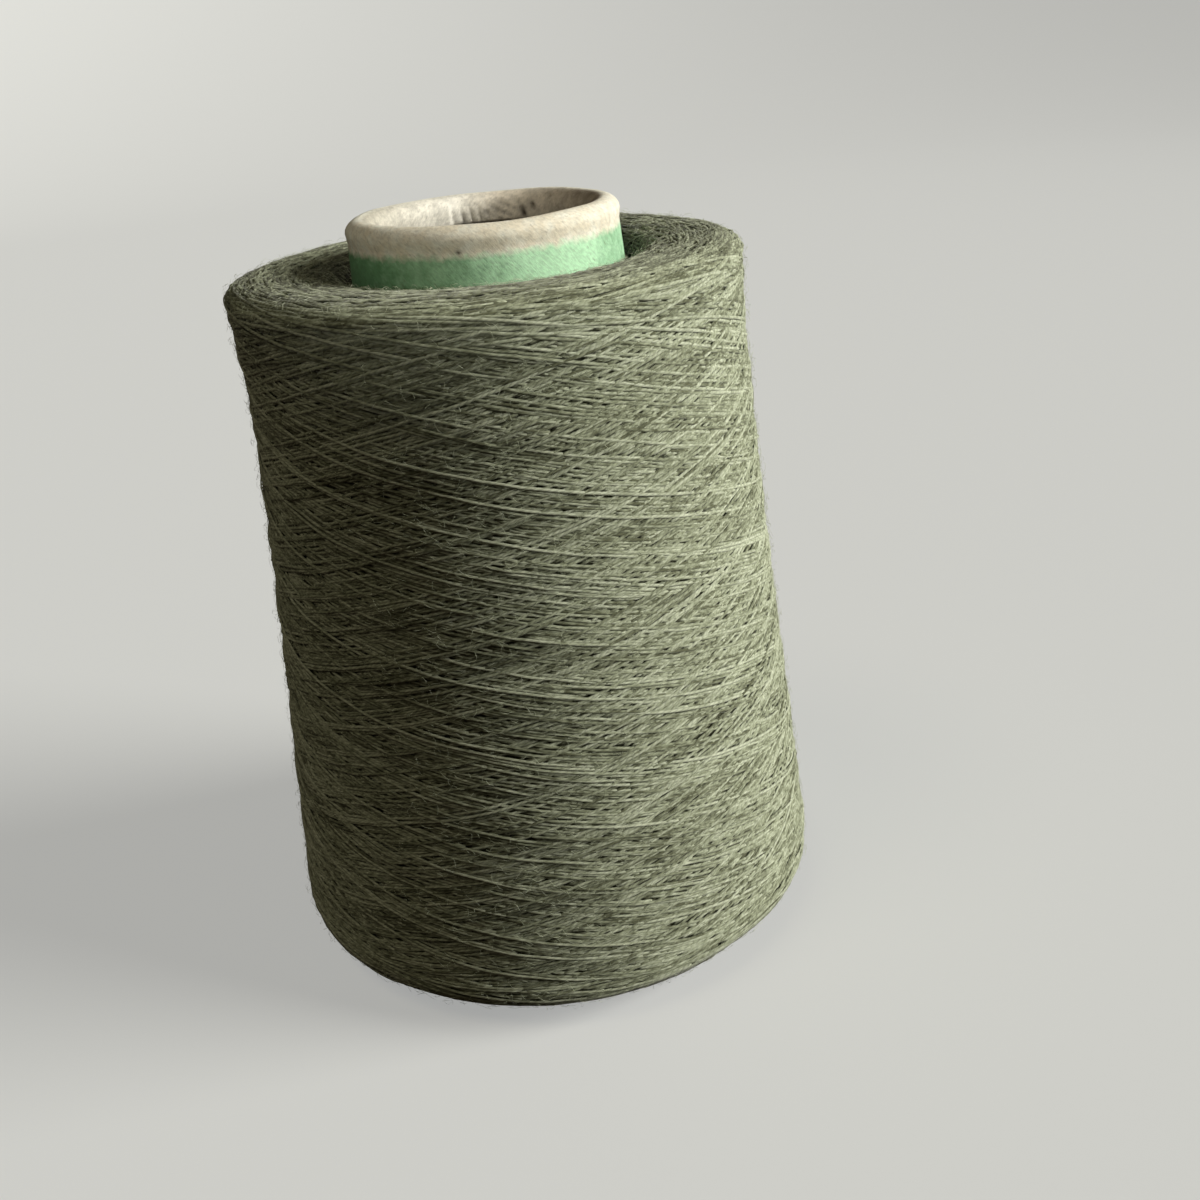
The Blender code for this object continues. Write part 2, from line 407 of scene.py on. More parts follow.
past_seam = (angle - SEAM_ANGLE) % math.tau
after_seam = smoothstep((math.pi - np.abs(past_seam - math.pi)) / SEAM_EDGE)
before_seam = ((SEAM_ANGLE - angle) % math.tau) < SEAM_RUN
hem_end = smoothstep((HEM_LINE - height) / HEM_EDGE)
hem_end *= smoothstep((HEM_SPREAD - np.abs(angle - HEM_MIDDLE)) / HEM_FADE)
moved = inside * (PLEAT_DEPTH * crimped * deeper * groove + HEM_STEP * hem_end)
moved += inside * SEAM_STEP * after_seam * before_seam * smoothstep(down / (3.0 * MM))
slanted = (angle + WRINKLE_LEAN * down) / WRINKLE_SPACING + uneven
wrinkle = (1.0 - np.abs(np.sin(math.pi * slanted))) ** 1.5
wrinkle *= smoothstep((down - WRINKLE_START) / WRINKLE_DEEPENING)
wrinkle *= np.exp(-(((angle - WRINKLE_MIDDLE) / WRINKLE_SPREAD) ** 2))
nipped = sum(
    np.exp(-(((angle - at) * radius / CRIMP_WIDTH) ** 2) - ((height - middle) / half) ** 4)
    for at, middle, half in CRIMPS
)
moved += inside * (WRINKLE_DEPTH * wrinkle + CRIMP_DEPTH * nipped)
moved += on_nose * LIP_WAVE * (waves(angle, (2, 3, 5), rng) + 0.5 * waves(angle, (9, 14, 22), rng))
outside_lip = smoothstep((radius - bead[0]) / MM)
outside_lip *= smoothstep((bead[1] + LIP_SIDE_TOP - height) / LIP_SIDE_FADE)
outside_lip *= smoothstep((height - bead[1] + LIP_BEAD_RADIUS) / MM)  # not the wall below
moved += outside_lip * np.minimum(0.0, LIP_SIDE_RADIUS - radius)
scaled = (radius + moved) / radius
points[:, :2] *= scaled[:, None]
crest = smoothstep((height - bead[1]) / LIP_BEAD_RADIUS)
points[:, 2] -= crest * LIP_WAVE * (1.0 + waves(angle, (2, 4, 7), rng))
write_points(cone, points)
# Painted shade, kept as a share on each point: dark in the pleats' grooves, the wrinkles, the two nips
# and on the hem's step, and a dark spot at a small nick outside the lip.
nick_side = (angle - NICK[0]) * radius / NICK_WIDTH
nick = np.exp(-(nick_side**2) - ((height - NICK[1]) / NICK_HEIGHT) ** 2)
nick *= smoothstep((radius - bead[0]) / MM)
painted_shade_share = PLEAT_PAINTED_SHADE * crimped * deeper * groove + WRINKLE_PAINTED_SHADE * wrinkle + CRIMP_PAINTED_SHADE * nipped + hem_end
painted_shade_share = inside * np.clip(painted_shade_share, 0.0, 1.0) + nick
painted_shade = cone.data.attributes.new("painted_shade", "FLOAT", "POINT")
painted_shade.data.foreach_set("value", painted_shade_share.astype(np.float32))
cone.data.shade_smooth()
cone.data.set_sharp_from_angle(angle=math.radians(50.0))

# Pressed paper: matte and faintly fibrous, cream with brown-grey mottling, browner towards -Y, and
# with painted shade inside the bore, darkest to the right, and along its pleats. The green is a thin dye
# on the outside, so the paper's fibres and mottling show through it; painted shade deepens it to the
# left and at the far +X side, and its edge is soft.
PAPER_COLOUR = "#EEEDDF"
PAPER_STAIN = "#E3DAC4"
PAPER_INSIDE = ("#BEB9A9", "#FBF7EA", "#F0E5D1", "#9C8F7E")  # across the bore, from -X to +X: painted light and shade, palest left of the middle and darkest to the right
PAPER_FLECK = "#6B5C48"
PAPER_PAINTED_SHADE = "#3A3026"
DYE_COLOUR = "#B9E4BC"
DYE_DEEP_AND_SHADE = "#6B9A70"
DYE_EDGE = 164.2 * MM
DYE_RAGGED = 0.6 * MM
DYE_SOFTNESS = 0.8 * MM
DYE_FOOT = 120.0 * MM  # well under the yarn
DYE_PATCH = 1.6 * MM  # size of its ragged edge's waves
DYE_SHADE_LEFT = (0.02, -0.028, 0.1, 0.58)  # painted shade: the dye is darker towards -X: from and to, in metres, and how deep,
DYE_SHADE_RIGHT = (0.014, 0.026, 0.0, 0.3)  # and again a little at the far +X side
BROWNER_TO_FRONT = (0.02, -0.028, -0.1, 0.14)  # the paper is browner towards -Y, in the same terms
BORE_EDGE = (26.2 * MM, 25.2 * MM)  # radii between which the paper inside begins
FIBRE_SIZE = 0.45 * MM
FIBRE_RUN = 1.5 * MM
FIBRE_SLANT = 26.0  # radians of turn for each metre up
MOTTLE_SIZE = 3.0 * MM
GRAIN_SIZE = 0.8 * MM
GRAIN_DARKEST = 0.78
PAPER_ROUGHNESS = 0.82
PAPER_BUMP = 0.2 * MM

paper, tree, surface = new_material("pressed_paper_matte")
place = add_node(tree, "TexCoord").outputs["Object"]
at_x, at_y, at_z = add_node(tree, "SeparateXYZ", (place,)).outputs
slant = add_node(tree, "Math", (at_z, FIBRE_SLANT), operation="MULTIPLY")
wound = add_node(tree, "VectorRotate", {"Vector": place, "Angle": slant}, rotation_type="Z_AXIS")
drawn = add_node(tree, "VectorMath", (
    wound, (1.0 / FIBRE_SIZE, 1.0 / FIBRE_SIZE, 1.0 / FIBRE_RUN),
), operation="MULTIPLY")
fibres = add_node(tree, "TexNoise", {"Vector": drawn, "Scale": 1.0, "Detail": 3.0, "Roughness": 0.6})
mottle = add_node(tree, "TexNoise", {
    "Vector": place, "Scale": 1.0 / MOTTLE_SIZE, "Detail": 5.0, "Roughness": 0.65,
})
browner_to_front = add_node(tree, "MapRange", (at_y, *BROWNER_TO_FRONT))
stain_sum = add_node(tree, "Math", (mottle, browner_to_front), operation="ADD")
stained = add_node(tree, "MapRange", (stain_sum, 0.4, 0.72))
cream = add_node(tree, "Mix", (stained, PAPER_COLOUR, PAPER_STAIN), data_type="RGBA")
# Painted shade on the green: darker towards -X and at the far +X side, on top of its own mottling.
dye_shade_left = add_node(tree, "MapRange", (at_x, *DYE_SHADE_LEFT))
dye_sum = add_node(tree, "Math", (mottle, 0.4, dye_shade_left), operation="MULTIPLY_ADD")
dye_shade_right = add_node(tree, "MapRange", (at_x, *DYE_SHADE_RIGHT))
dye_sum = add_node(tree, "Math", (dye_sum, dye_shade_right), operation="ADD")
dye_mottle_and_shade = add_node(tree, "MapRange", (dye_sum, 0.45, 0.75))
green = add_node(tree, "Mix", (dye_mottle_and_shade, DYE_COLOUR, DYE_DEEP_AND_SHADE), data_type="RGBA")
ragged = add_node(tree, "TexNoise", {"Vector": place, "Scale": 1.0 / DYE_PATCH, "Detail": 3.0})
edge_place = add_node(tree, "Math", (ragged, 4.0 * DYE_RAGGED, at_z), operation="MULTIPLY_ADD")
under_edge = add_node(tree, "MapRange", (
    edge_place, DYE_EDGE + 2.0 * DYE_RAGGED + DYE_SOFTNESS, DYE_EDGE + 2.0 * DYE_RAGGED - DYE_SOFTNESS,
))
over_foot = add_node(tree, "Math", (at_z, DYE_FOOT), operation="GREATER_THAN")
flat_place = add_node(tree, "CombineXYZ", (at_x, at_y))
from_axis = add_node(tree, "VectorMath", (flat_place,), operation="LENGTH")
untapered = add_node(tree, "Math", (at_z, CONE_TAPER, from_axis), operation="MULTIPLY_ADD")
outside = add_node(tree, "Math", (untapered, cone_radius(0.0) - WALL / 2), operation="GREATER_THAN")
dyed = add_node(tree, "Math", (under_edge, over_foot), operation="MULTIPLY")
dyed = add_node(tree, "Math", (dyed, outside), operation="MULTIPLY")
in_bore = add_node(tree, "MapRange", (from_axis, *BORE_EDGE))
# Painted shade inside the bore: the paper is lighter and darker across it, darkest to the right, with
# its own mottling on top.
across_bore = add_node(tree, "MapRange", (at_x, -0.025, 0.025))
bore_painted_shade = add_node(tree, "ValToRGB", (across_bore,), tuple(zip((0.0, 0.38, 0.6, 1.0), PAPER_INSIDE)))
worn = add_node(tree, "MapRange", (mottle, 0.42, 0.62, 1.0, 0.74))
bore_shade_and_mottle = add_node(tree, "Mix", (1.0, bore_painted_shade, worn), data_type="RGBA", blend_type="MULTIPLY")
raw = add_node(tree, "Mix", (in_bore, cream, bore_shade_and_mottle), data_type="RGBA")
coloured = add_node(tree, "Mix", (dyed, raw, green), data_type="RGBA")
flecks = add_node(tree, "MapRange", (fibres, 0.6, 0.76, 0.0, 0.5))
flecked = add_node(tree, "Mix", (flecks, coloured, PAPER_FLECK), data_type="RGBA")
grain = add_node(tree, "TexNoise", {"Vector": wound, "Scale": 1.0 / GRAIN_SIZE, "Roughness": 0.6})
grain_shade = add_node(tree, "MapRange", (grain, 0.3, 0.6, GRAIN_DARKEST))
grained = add_node(tree, "Mix", (1.0, flecked, grain_shade), data_type="RGBA", blend_type="MULTIPLY")
painted_shade_value = add_node(tree, "Attribute", attribute_name="painted_shade").outputs["Fac"]
shade_painted_paper = add_node(tree, "Mix", (painted_shade_value, grained, PAPER_PAINTED_SHADE), data_type="RGBA")
paper_relief = add_node(tree, "Math", (mottle, 1.5, fibres), operation="MULTIPLY_ADD")
bump = add_node(tree, "Bump", {"Height": paper_relief, "Strength": 0.35, "Distance": PAPER_BUMP})
set_inputs(surface, {
    "Base Color": shade_painted_paper,
    "Normal": bump,
    "Roughness": PAPER_ROUGHNESS,
    "Specular IOR Level": 0.3,
})
cone.data.materials.append(paper)
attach(cone, "root")
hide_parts("paper_cone")


# Yarn body: the mass of thread under the turns that show, on the cone's wall. It has the package's whole
# form, with its hollow side, full top edge and low crossing bands, a little inside the outermost turns.
YARN_GAP = 0.3 * MM
UNDERSIDE_HEIGHT = 5.0 * MM
BOTTOM_CORNER_RADIUS = 5.0 * MM
NOSE_CONTACT_HEIGHT = 156.3 * MM
CREST_HEIGHT = 160.5 * MM
CREST_RADIUS = 48.0 * MM
SHOULDER_HEIGHT = 157.0 * MM
SHOULDER_FULLNESS = 2.1
SIDE_ROWS = (  # heights and radii, in millimetres
    (10.0, 65.4), (40.0, 62.9), (75.0, 59.8), (110.0, 57.1), (140.0, 55.5), (157.0, 55.9),
)
BAND_COUNT = 6
BAND_HEIGHT = 0.3 * MM
BAND_LEAD = 87.0 * MM
BULGE = 0.7 * MM
BULGE_START_HEIGHT = 128.0 * MM
VALLEY_DEPTH = 4.0 * MM  # the nose end sinks beside the cone on its two sides
VALLEY_WIDTH = 7.0 * MM
VALLEY_FOOT = 100.0 * MM  # well below the nose end
VALLEY_FADE = 20.0 * MM
VALLEYS = (  # the middle of each, its share of the depth, and its spread in radians
    (math.radians(22.0), 1.25, 0.8),
    (math.radians(172.0), 0.5, 0.65),
)
PROFILE_STEP = 0.2 * MM
BODY_SIDES = 180
BODY_RING_SPACING = 2.5 * MM
BODY_SUNK = 0.85 * MM  # under the surface that the outermost turns make
BODY_START = 1.5 * MM  # from where the yarn meets the cone


def side_radius(height):
    """Outer radius of the wound side: a smooth curve through the rows of SIDE_ROWS."""
    heights, radii = np.array(SIDE_ROWS).T * MM
    slopes = np.gradient(radii, heights, edge_order=1)
    slopes[1:-1] = (radii[2:] - radii[:-2]) / (heights[2:] - heights[:-2])
    low = np.clip(np.searchsorted(heights, height) - 1, 0, len(heights) - 2)
    span = heights[low + 1] - heights[low]
    part = (height - heights[low]) / span
    blend = smoothstep(part)
    leaving = slopes[low] * span * part * (1.0 - part) ** 2
    arriving = slopes[low + 1] * span * (1.0 - part) * part**2
    return radii[low] * (1.0 - blend) + radii[low + 1] * blend + leaving - arriving


def package_outline():
    """Points (radius, height) from the nose end round to the underside, and the side's two ends."""
    crest_run = CREST_RADIUS - (cone_radius(NOSE_CONTACT_HEIGHT) + YARN_GAP)
    crest_rise = CREST_HEIGHT - NOSE_CONTACT_HEIGHT
    nose_end = arc((CREST_RADIUS, NOSE_CONTACT_HEIGHT), (crest_run, crest_rise), 180.0, 90.0, 60)
    turn = np.linspace(math.pi / 2, 0.0, 120)[1:]
    power = 2.0 / SHOULDER_FULLNESS
    top_radius = side_radius(np.array(SHOULDER_HEIGHT))
    shoulder = np.stack([
        CREST_RADIUS + (top_radius - CREST_RADIUS) * np.cos(turn).clip(0.0) ** power,
        SHOULDER_HEIGHT + (CREST_HEIGHT - SHOULDER_HEIGHT) * np.sin(turn).clip(0.0) ** power,
    ], axis=1)
    side_foot = UNDERSIDE_HEIGHT + BOTTOM_CORNER_RADIUS
    height = np.linspace(SHOULDER_HEIGHT, side_foot, 600)[1:]
    side = np.stack([side_radius(height), height], axis=1)
    corner_centre = (side[-1, 0] - BOTTOM_CORNER_RADIUS, side_foot)
    corner = arc(corner_centre, (BOTTOM_CORNER_RADIUS, BOTTOM_CORNER_RADIUS), 0.0, -90.0, 40)[1:]
    bore_foot = [(cone_radius(UNDERSIDE_HEIGHT) + YARN_GAP, UNDERSIDE_HEIGHT)]
    side_top = len(nose_end) + len(shoulder) - 1
    return np.concatenate([nose_end, shoulder, side, corner, bore_foot]), side_top, side_top + len(side)


# The outline, evenly spaced: a place on it is its length from where the yarn meets the cone at the nose.
outline, side_top, side_bottom = package_outline()
length = np.concatenate([[0.0], np.cumsum(np.linalg.norm(np.diff(outline, axis=0), axis=1))])
outline_places = np.arange(0.0, length[-1], PROFILE_STEP)
outline_radius = np.interp(outline_places, length, outline[:, 0])
outline_height = np.interp(outline_places, length, outline[:, 1])
outline_end = outline_places[-1]
shoulder_place, corner_place = length[side_top], length[side_bottom]
slope_radius = np.gradient(outline_radius, outline_places)
slope_height = np.gradient(outline_height, outline_places)
slope_length = np.hypot(slope_radius, slope_height)
out_radius = -slope_height / slope_length
out_height = slope_radius / slope_length


def package_point(angle, place, lift):
    """Points at an angle and a place along the outline, raised by lift, and the way out there."""
    radius = np.interp(place, outline_places, outline_radius)
    height = np.interp(place, outline_places, outline_height)
    way_radius = np.interp(place, outline_places, out_radius)
    way_height = np.interp(place, outline_places, out_height)
    turn = math.tau * height / BAND_LEAD
    bands = np.cos(BAND_COUNT * (angle - turn)) + np.cos(BAND_COUNT * (angle + turn))
    rise = smoothstep((height - BULGE_START_HEIGHT) / (SHOULDER_HEIGHT - BULGE_START_HEIGHT))
    relief = 0.5 * BAND_HEIGHT * bands - BULGE * rise * np.cos(angle)
    fade_run = CREST_RADIUS - (cone_radius(NOSE_CONTACT_HEIGHT) + YARN_GAP)
    share = smoothstep((radius - cone_radius(height) - YARN_GAP) / fade_run)
    share = share * smoothstep((height - UNDERSIDE_HEIGHT) / BOTTOM_CORNER_RADIUS)
    radius = radius + share * relief + lift * way_radius
    sunk = 0.0
    for middle, part, spread in VALLEYS:
        off_middle = short_way(angle - middle)
        sunk = sunk + part * np.exp(-((off_middle / spread) ** 2))
    from_wall = (radius - cone_radius(height)) / VALLEY_WIDTH
    sunk = VALLEY_DEPTH * sunk * (1.0 - smoothstep(from_wall))
    sunk = sunk * smoothstep((height - VALLEY_FOOT) / VALLEY_FADE)
    height = height + lift * way_height - sunk
    point = np.stack([radius * np.cos(angle), radius * np.sin(angle), height], axis=-1)
    way = np.stack([way_radius * np.cos(angle), way_radius * np.sin(angle), way_height], axis=-1)
    return point, way


body_places = np.arange(BODY_START, outline_end, BODY_RING_SPACING)
body_radius = np.interp(body_places, outline_places, outline_radius - BODY_SUNK * out_radius)
body_height = np.interp(body_places, outline_places, outline_height - BODY_SUNK * out_height)
bore_radius = cone_radius(body_height[0]) + YARN_GAP
bore_foot = (cone_radius(body_height[-1]) + YARN_GAP, body_height[-1])

rings = [(bore_radius, body_height[0]), *zip(body_radius, body_height), bore_foot]
body = turned_shell("yarn_body", BODY_SIDES, rings)

points = read_points(body).reshape(-1, BODY_SIDES, 3)
for ring, place in enumerate(body_places, start=1):
    angle = np.arctan2(points[ring, :, 1], points[ring, :, 0])
    points[ring], _ = package_point(angle, np.full(BODY_SIDES, place), -BODY_SUNK)
write_points(body, points.reshape(-1, 3))
body.data.shade_smooth()

# The wool below: the same melange, out of focus and painted dark as the shade between the turns, so only
# clumps of it show.
WOOL_BELOW = "#3A3A2A"
WOOL_BELOW_PALE = "#6A6C52"
CLUMP_SIZE = 0.9 * MM
CLUMP_BUMP = 0.4 * MM

below, tree, surface = new_material("melange_wool_below")
clumps = add_node(tree, "TexNoise", {
    "Vector": add_node(tree, "TexCoord").outputs["Object"], "Scale": 1.0 / CLUMP_SIZE, "Detail": 3.0,
})
clump_tone = add_node(tree, "ValToRGB", (clumps,), ((0.35, WOOL_BELOW), (0.65, WOOL_BELOW_PALE)))
clump_bump = add_node(tree, "Bump", {"Height": clumps, "Distance": CLUMP_BUMP})
set_inputs(surface, {"Base Color": clump_tone, "Normal": clump_bump, "Roughness": 0.95})
body.data.materials.append(below)
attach(body, "root")
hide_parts("yarn_package")


# The turns that show: one fine two-ply thread, cross-wound from end to end and back. Each stroke takes
# about two turns and swings back level at the ends. The turns are laid in order over a map of what lies
# below, so a later turn passes over the earlier ones, and what ends up covered is left out.
THREAD_RADIUS = 0.38 * MM  # the real one is finer, about 0.28, which would take too many threads
THREAD_PRESSED = 0.21 * MM  # half its thickness where turns cross and press together
THREAD_GIVE = 0.65  # share by which the turns below give way
CELL = 0.15 * MM
CELLS_ROUND = 1500
CROWN = (0.4, 0.85, 1.0, 0.85, 0.4)  # a thread's round back, on the five rows of cells that it covers
COLUMNS = 4  # that one sample of it covers
BED_BRIDGE = 3  # samples on each side over which it bridges the bed,
TURNS_BRIDGE = 2  # and the single turns on it
LAY_STEP = 0.5 * MM
STROKES = 820
STROKE_TURNS = 1.9167  # so that double strokes gather in six bands each way
STROKE_CREEP = 0.0093
STROKE_SLIP = 0.006
STROKE_SWING = 0.17  # share of a stroke over which it turns back at each end
END_SCATTER = 2.2 * MM  # how unevenly the strokes turn back
LAID_RADIUS = 60.0  # millimetres; a mean radius, which gives a stroke its number of samples
WANDER = 0.22 * MM
WAVER = 0.1 * MM  # small sideways waver of a slack thread
SETTLE_EVERY = 20  # strokes
SETTLE_ARCS = 150
SETTLE_REACH = 6  # cells
EASE_REACH = 20  # samples
DIP = 0.42 * MM  # how far a thread sinks between its neighbours here and there
DIP_LENGTH = 3.6 * MM
PASS = 0.95 * MM  # how far it sinks where it passes below a group of others
PASS_LENGTH = 22.0 * MM
NESTLE = 3  # cells that it may slide sideways
NESTLE_PULL = 0.025 * MM
TAUT_STROKES = 36  # the last ones: those of them that run down lie taut on top, a little proud
TAUT_RISE = 0.15 * MM
TAUTNESS = (0.4, 1.0)
TAUT_STRAIGHT = 0.7  # how much less the tautest dips and wavers
TAUT_PASS = 0.6  # how much deeper it passes below a group of others
THREAD_SEED = 12
NOSE_ARCS = 2500
FOOT_ARCS = 1200
ARC_LENGTH = (8.0 * MM, 26.0 * MM)
ARC_SLOPE = 0.16
ARC_DIVE = 0.7 * MM
ARC_DIVE_RUN = 5.0 * MM

rng = np.random.default_rng(THREAD_SEED)
pile_rows = int(outline_end / CELL) + 3
pile = np.zeros((CELLS_ROUND, pile_rows))
level = pile.copy()
laid = []


def blurred(field, reach):
    """The field averaged over a square of cells, without a seam all round and held at its ends."""
    width = 2 * reach + 1
    wrapped = np.concatenate([field[-reach:], field, field[:reach]])
    total = np.cumsum(np.concatenate([np.zeros((1, field.shape[1])), wrapped]), axis=0)
    field = (total[width:] - total[:-width]) / width
    padded = np.pad(field, ((0, 0), (reach, reach)), mode="edge")
    total = np.cumsum(np.concatenate([np.zeros((len(field), 1)), padded], axis=1), axis=1)
    return (total[:, width:] - total[:, :-width]) / width


def settled(pile, reach):
    """The pile without its single threads: its mean all round, and its unevenness averaged nearby."""
    rows = pile.mean(axis=0)
    return rows + blurred(blurred(pile - rows, reach), reach)


def eased(values, reach):
    """Values along a thread, each averaged with its neighbours."""
    padded = np.pad(values, [(0, 0)] * (values.ndim - 1) + [(reach, reach)], mode="edge")
    count = values.shape[-1]
    return np.mean([padded[..., shift : shift + count] for shift in range(2 * reach + 1)], axis=0)


def held(below, reach):
    """The height that a taut thread keeps over an uneven pile, from high spot to high spot."""
    padded = np.pad(below, reach, mode="edge")
    highest = np.max([padded[shift : shift + len(below)] for shift in range(2 * reach + 1)], axis=0)
    return eased(highest, reach)


def cells_at(angle, place):
    """The column and row of the pile at an angle and a place."""
    return np.floor(angle / math.tau * CELLS_ROUND).astype(int) % CELLS_ROUND, (place / CELL).astype(int)


def nestled(angle, place):
    """A thread slides a little sideways, into the groove between the turns that already lie there."""
    column, row = cells_at(angle, place)
    lanes = np.stack([
        pile[column, (row + shift).clip(0, pile_rows - 1)] for shift in range(-NESTLE - 1, NESTLE + 2)
    ])
    below = eased(np.maximum(np.maximum(lanes[:-2], lanes[1:-1]), lanes[2:]), EASE_REACH)
    shifts = np.arange(-NESTLE, NESTLE + 1)[:, None]
    weight = np.exp(-(below - below.min(axis=0)) / NESTLE_PULL - 0.5 * (shifts / NESTLE) ** 2)
    return place + CELL * eased((weight * shifts).sum(axis=0) / weight.sum(axis=0), EASE_REACH)


def lay(angle, place, sink, painted_highlight=0.0):
    """Lays one stretch of thread on the pile, and keeps it with the height at which it lies."""
    place = nestled(angle, place).clip(0.0, outline_end)
    column, row = cells_at(angle, place)
    row = row.clip(2, pile_rows - 3)
    below = np.maximum(np.maximum(pile[column, row - 1], pile[column, row]), pile[column, row + 1])
    bed = held(level[column, row], BED_BRIDGE)
    height = bed + (1.0 - THREAD_GIVE) * (held(below, TURNS_BRIDGE) - bed) - sink + THREAD_PRESSED
    for round_shift in range(COLUMNS):
        at = (column + round_shift) % CELLS_ROUND
        for row_shift, crown in enumerate(CROWN, start=-2):
            top = height + crown * THREAD_PRESSED
            pile[at, row + row_shift] = np.maximum(pile[at, row + row_shift], top)
    laid.append((angle, place, height, painted_highlight))


def dips(samples, spacing=DIP_LENGTH):
    """How far a slack thread sinks along its length, between 0 and 1, as a smooth random wave."""
    knots = rng.uniform(0.0, 1.0, int(samples * LAY_STEP / spacing) + 3)
    at = np.arange(samples) * LAY_STEP / spacing
    low = at.astype(int)
    return knots[low] + (knots[low + 1] - knots[low]) * smoothstep(at - low)


def lay_arc(middle):
    """Lays a nearly level stretch, as where a stroke turns back at the end; its own ends dive in."""
    radius = np.interp(middle, outline_places, outline_radius)
    span = rng.uniform(*ARC_LENGTH)
    along = np.linspace(-0.5, 0.5, int(span / LAY_STEP)) * span
    slope = rng.normal() * ARC_SLOPE
    place = middle + slope * along + rng.normal(0.0, 0.5 * MM) * np.sin(math.tau * along / span)
    dive = 1.0 - smoothstep((0.5 * span - np.abs(along)) / ARC_DIVE_RUN)
    angle = rng.uniform(0.0, math.tau) + along / radius
    lay(angle, place.clip(0.0, outline_end), ARC_DIVE * dive + DIP * dips(len(along)))


for arcs, first_place, last_place in (
    (NOSE_ARCS, 0.2 * MM, shoulder_place + 1.0 * MM),
    (FOOT_ARCS, corner_place, outline_end),
):
    for arc_number in range(arcs):
        lay_arc(rng.uniform(first_place, last_place))
        if arc_number % SETTLE_ARCS == 0:
            level = settled(pile, SETTLE_REACH)

swing = np.linspace(0.0, 1.0, 801)
speed = smoothstep(np.minimum(swing, 1.0 - swing) / STROKE_SWING)
climb = np.cumsum(speed) / speed.sum()
turn_start = 0.0
place_start = corner_place + 2.0 * MM
for stroke in range(STROKES):
    if stroke % SETTLE_EVERY == 0:
        level = settled(pile, SETTLE_REACH)
    goes_up = stroke % 2 == 0
    if goes_up:
        place_end = shoulder_place + rng.normal(-1.0, 1.0) * END_SCATTER
    else:
        place_end = corner_place + rng.normal(0.5, 1.0) * END_SCATTER
    turns = STROKE_TURNS + STROKE_CREEP / 2 + rng.normal(0.0, STROKE_SLIP)
    samples = int(turns * math.tau * LAID_RADIUS * MM / LAY_STEP)
    share = np.linspace(0.0, 1.0, samples)
    place = place_start + (place_end - place_start) * np.interp(share, swing, climb)
    wave = np.sin(math.tau * (rng.uniform(1.0, 3.0) * share + rng.uniform())) * np.sin(math.pi * share)
    place = place + WANDER * rng.normal() * wave
    taut = (stroke >= STROKES - TAUT_STROKES and not goes_up) * rng.uniform(*TAUTNESS)
    slack = 1.0 - TAUT_STRAIGHT * taut
    place = place + slack * WAVER * 2.0 * (dips(samples) + dips(samples) - 1.0)
    sink = slack * DIP * dips(samples)
    sink += (1.0 + TAUT_PASS * taut) * PASS * dips(samples, PASS_LENGTH) ** 2
    sink -= TAUT_RISE * taut
    lay(math.tau * (turn_start + turns * share), place, sink, taut)
    turn_start += turns
    place_start = place_end


# What shows of the turns: each kept run of samples becomes one closed three-sided thread. Its tone says
# how pale its wool is, from 0 to 1, and below 0 how deep in the shade of the others it lies. Painted
# light
# and shade go into it: the taut threads on top are painted pale, and threads beside the cone, in the
# loops behind it and on the nose end painted darker.
COVERED = 0.06 * MM  # a thread whose crown is this far under the pile beside it is left out
UNDER_LAP = 2  # samples that a thread runs on under the one that covers it
END_DIVE = 0.32 * MM  # how far its ends dive there
SHORTEST_RUN = 7  # samples
RING_STRIDE = 4  # samples between the rings of a thread
DEEPEST_SEEN = -2.2 * MM
NESTED = 0.65 * MM  # threads bed into one another, so no crevice is much deeper than this
PROUD = 0.35 * MM
SEATED = 0.15 * MM  # the crowns lie about on the package's outline
THREAD_TOP = 0.62  # a thread's section, as shares of its radius: its ridge,
THREAD_FOOT = 0.2  # and how far its two lower edges lie below its middle
SMOOTH_REACH = 14  # cells
VALLEY_SHADE = 2.0  # painted shade: the threads deep beside the cone are darker,
VALLEY_SHADE_REACH = 5.5 * MM
VALLEY_SHADE_SPREAD = 1.25  # of the valley's own
DARK_LOOPS = (math.radians(52.0), 8.5 * MM)  # so do the loose loops behind the cone on its right,
DARK_LOOPS_REACH = (0.45, 5.0 * MM)
DARK_LOOPS_SHADE = 2.4
NOSE_SHADE = 0.42  # and those of the loosely laid nose end a little
NOSE_SHADE_EDGE = 3.0 * MM
NOSE_SHADE_FADE = 4.0 * MM

level = settled(pile, SMOOTH_REACH)
turn_count = [len(angle) for angle, *_ in laid]
angle, place, height = (np.concatenate([one[part] for one in laid]) for part in range(3))
# Painted highlight: the taut threads on top get the palest tone.
tone = np.repeat(np.maximum(rng.uniform(size=len(laid)), [one[3] for one in laid]), turn_count)
# Painted shade: darker beside the cone, in the loose loops behind it on its right, and on the nose end.
for middle, _, spread in VALLEYS:
    off_middle = short_way(angle - middle)
    beside_cone = (place / VALLEY_SHADE_REACH) ** 2 + (off_middle / (VALLEY_SHADE_SPREAD * spread)) ** 4
    tone -= (tone + VALLEY_SHADE) * np.exp(-beside_cone)
off_middle = (angle - DARK_LOOPS[0]) / DARK_LOOPS_REACH[0]
dark_loops = np.exp(-(((place - DARK_LOOPS[1]) / DARK_LOOPS_REACH[1]) ** 2) - off_middle**2)
tone -= DARK_LOOPS_SHADE * dark_loops * (1.0 - tone).clip(0.0)
tone -= NOSE_SHADE * (1.0 - smoothstep((place - shoulder_place + NOSE_SHADE_EDGE) / NOSE_SHADE_FADE))
column, row = cells_at(angle, place)
row = row.clip(2, pile_rows - 3)
beside = np.minimum(np.minimum(pile[column, row - 1], pile[column, row + 1]), pile[column, row])
lift = height - level[column, row]
stroke_of = np.repeat(np.arange(len(laid)), turn_count)
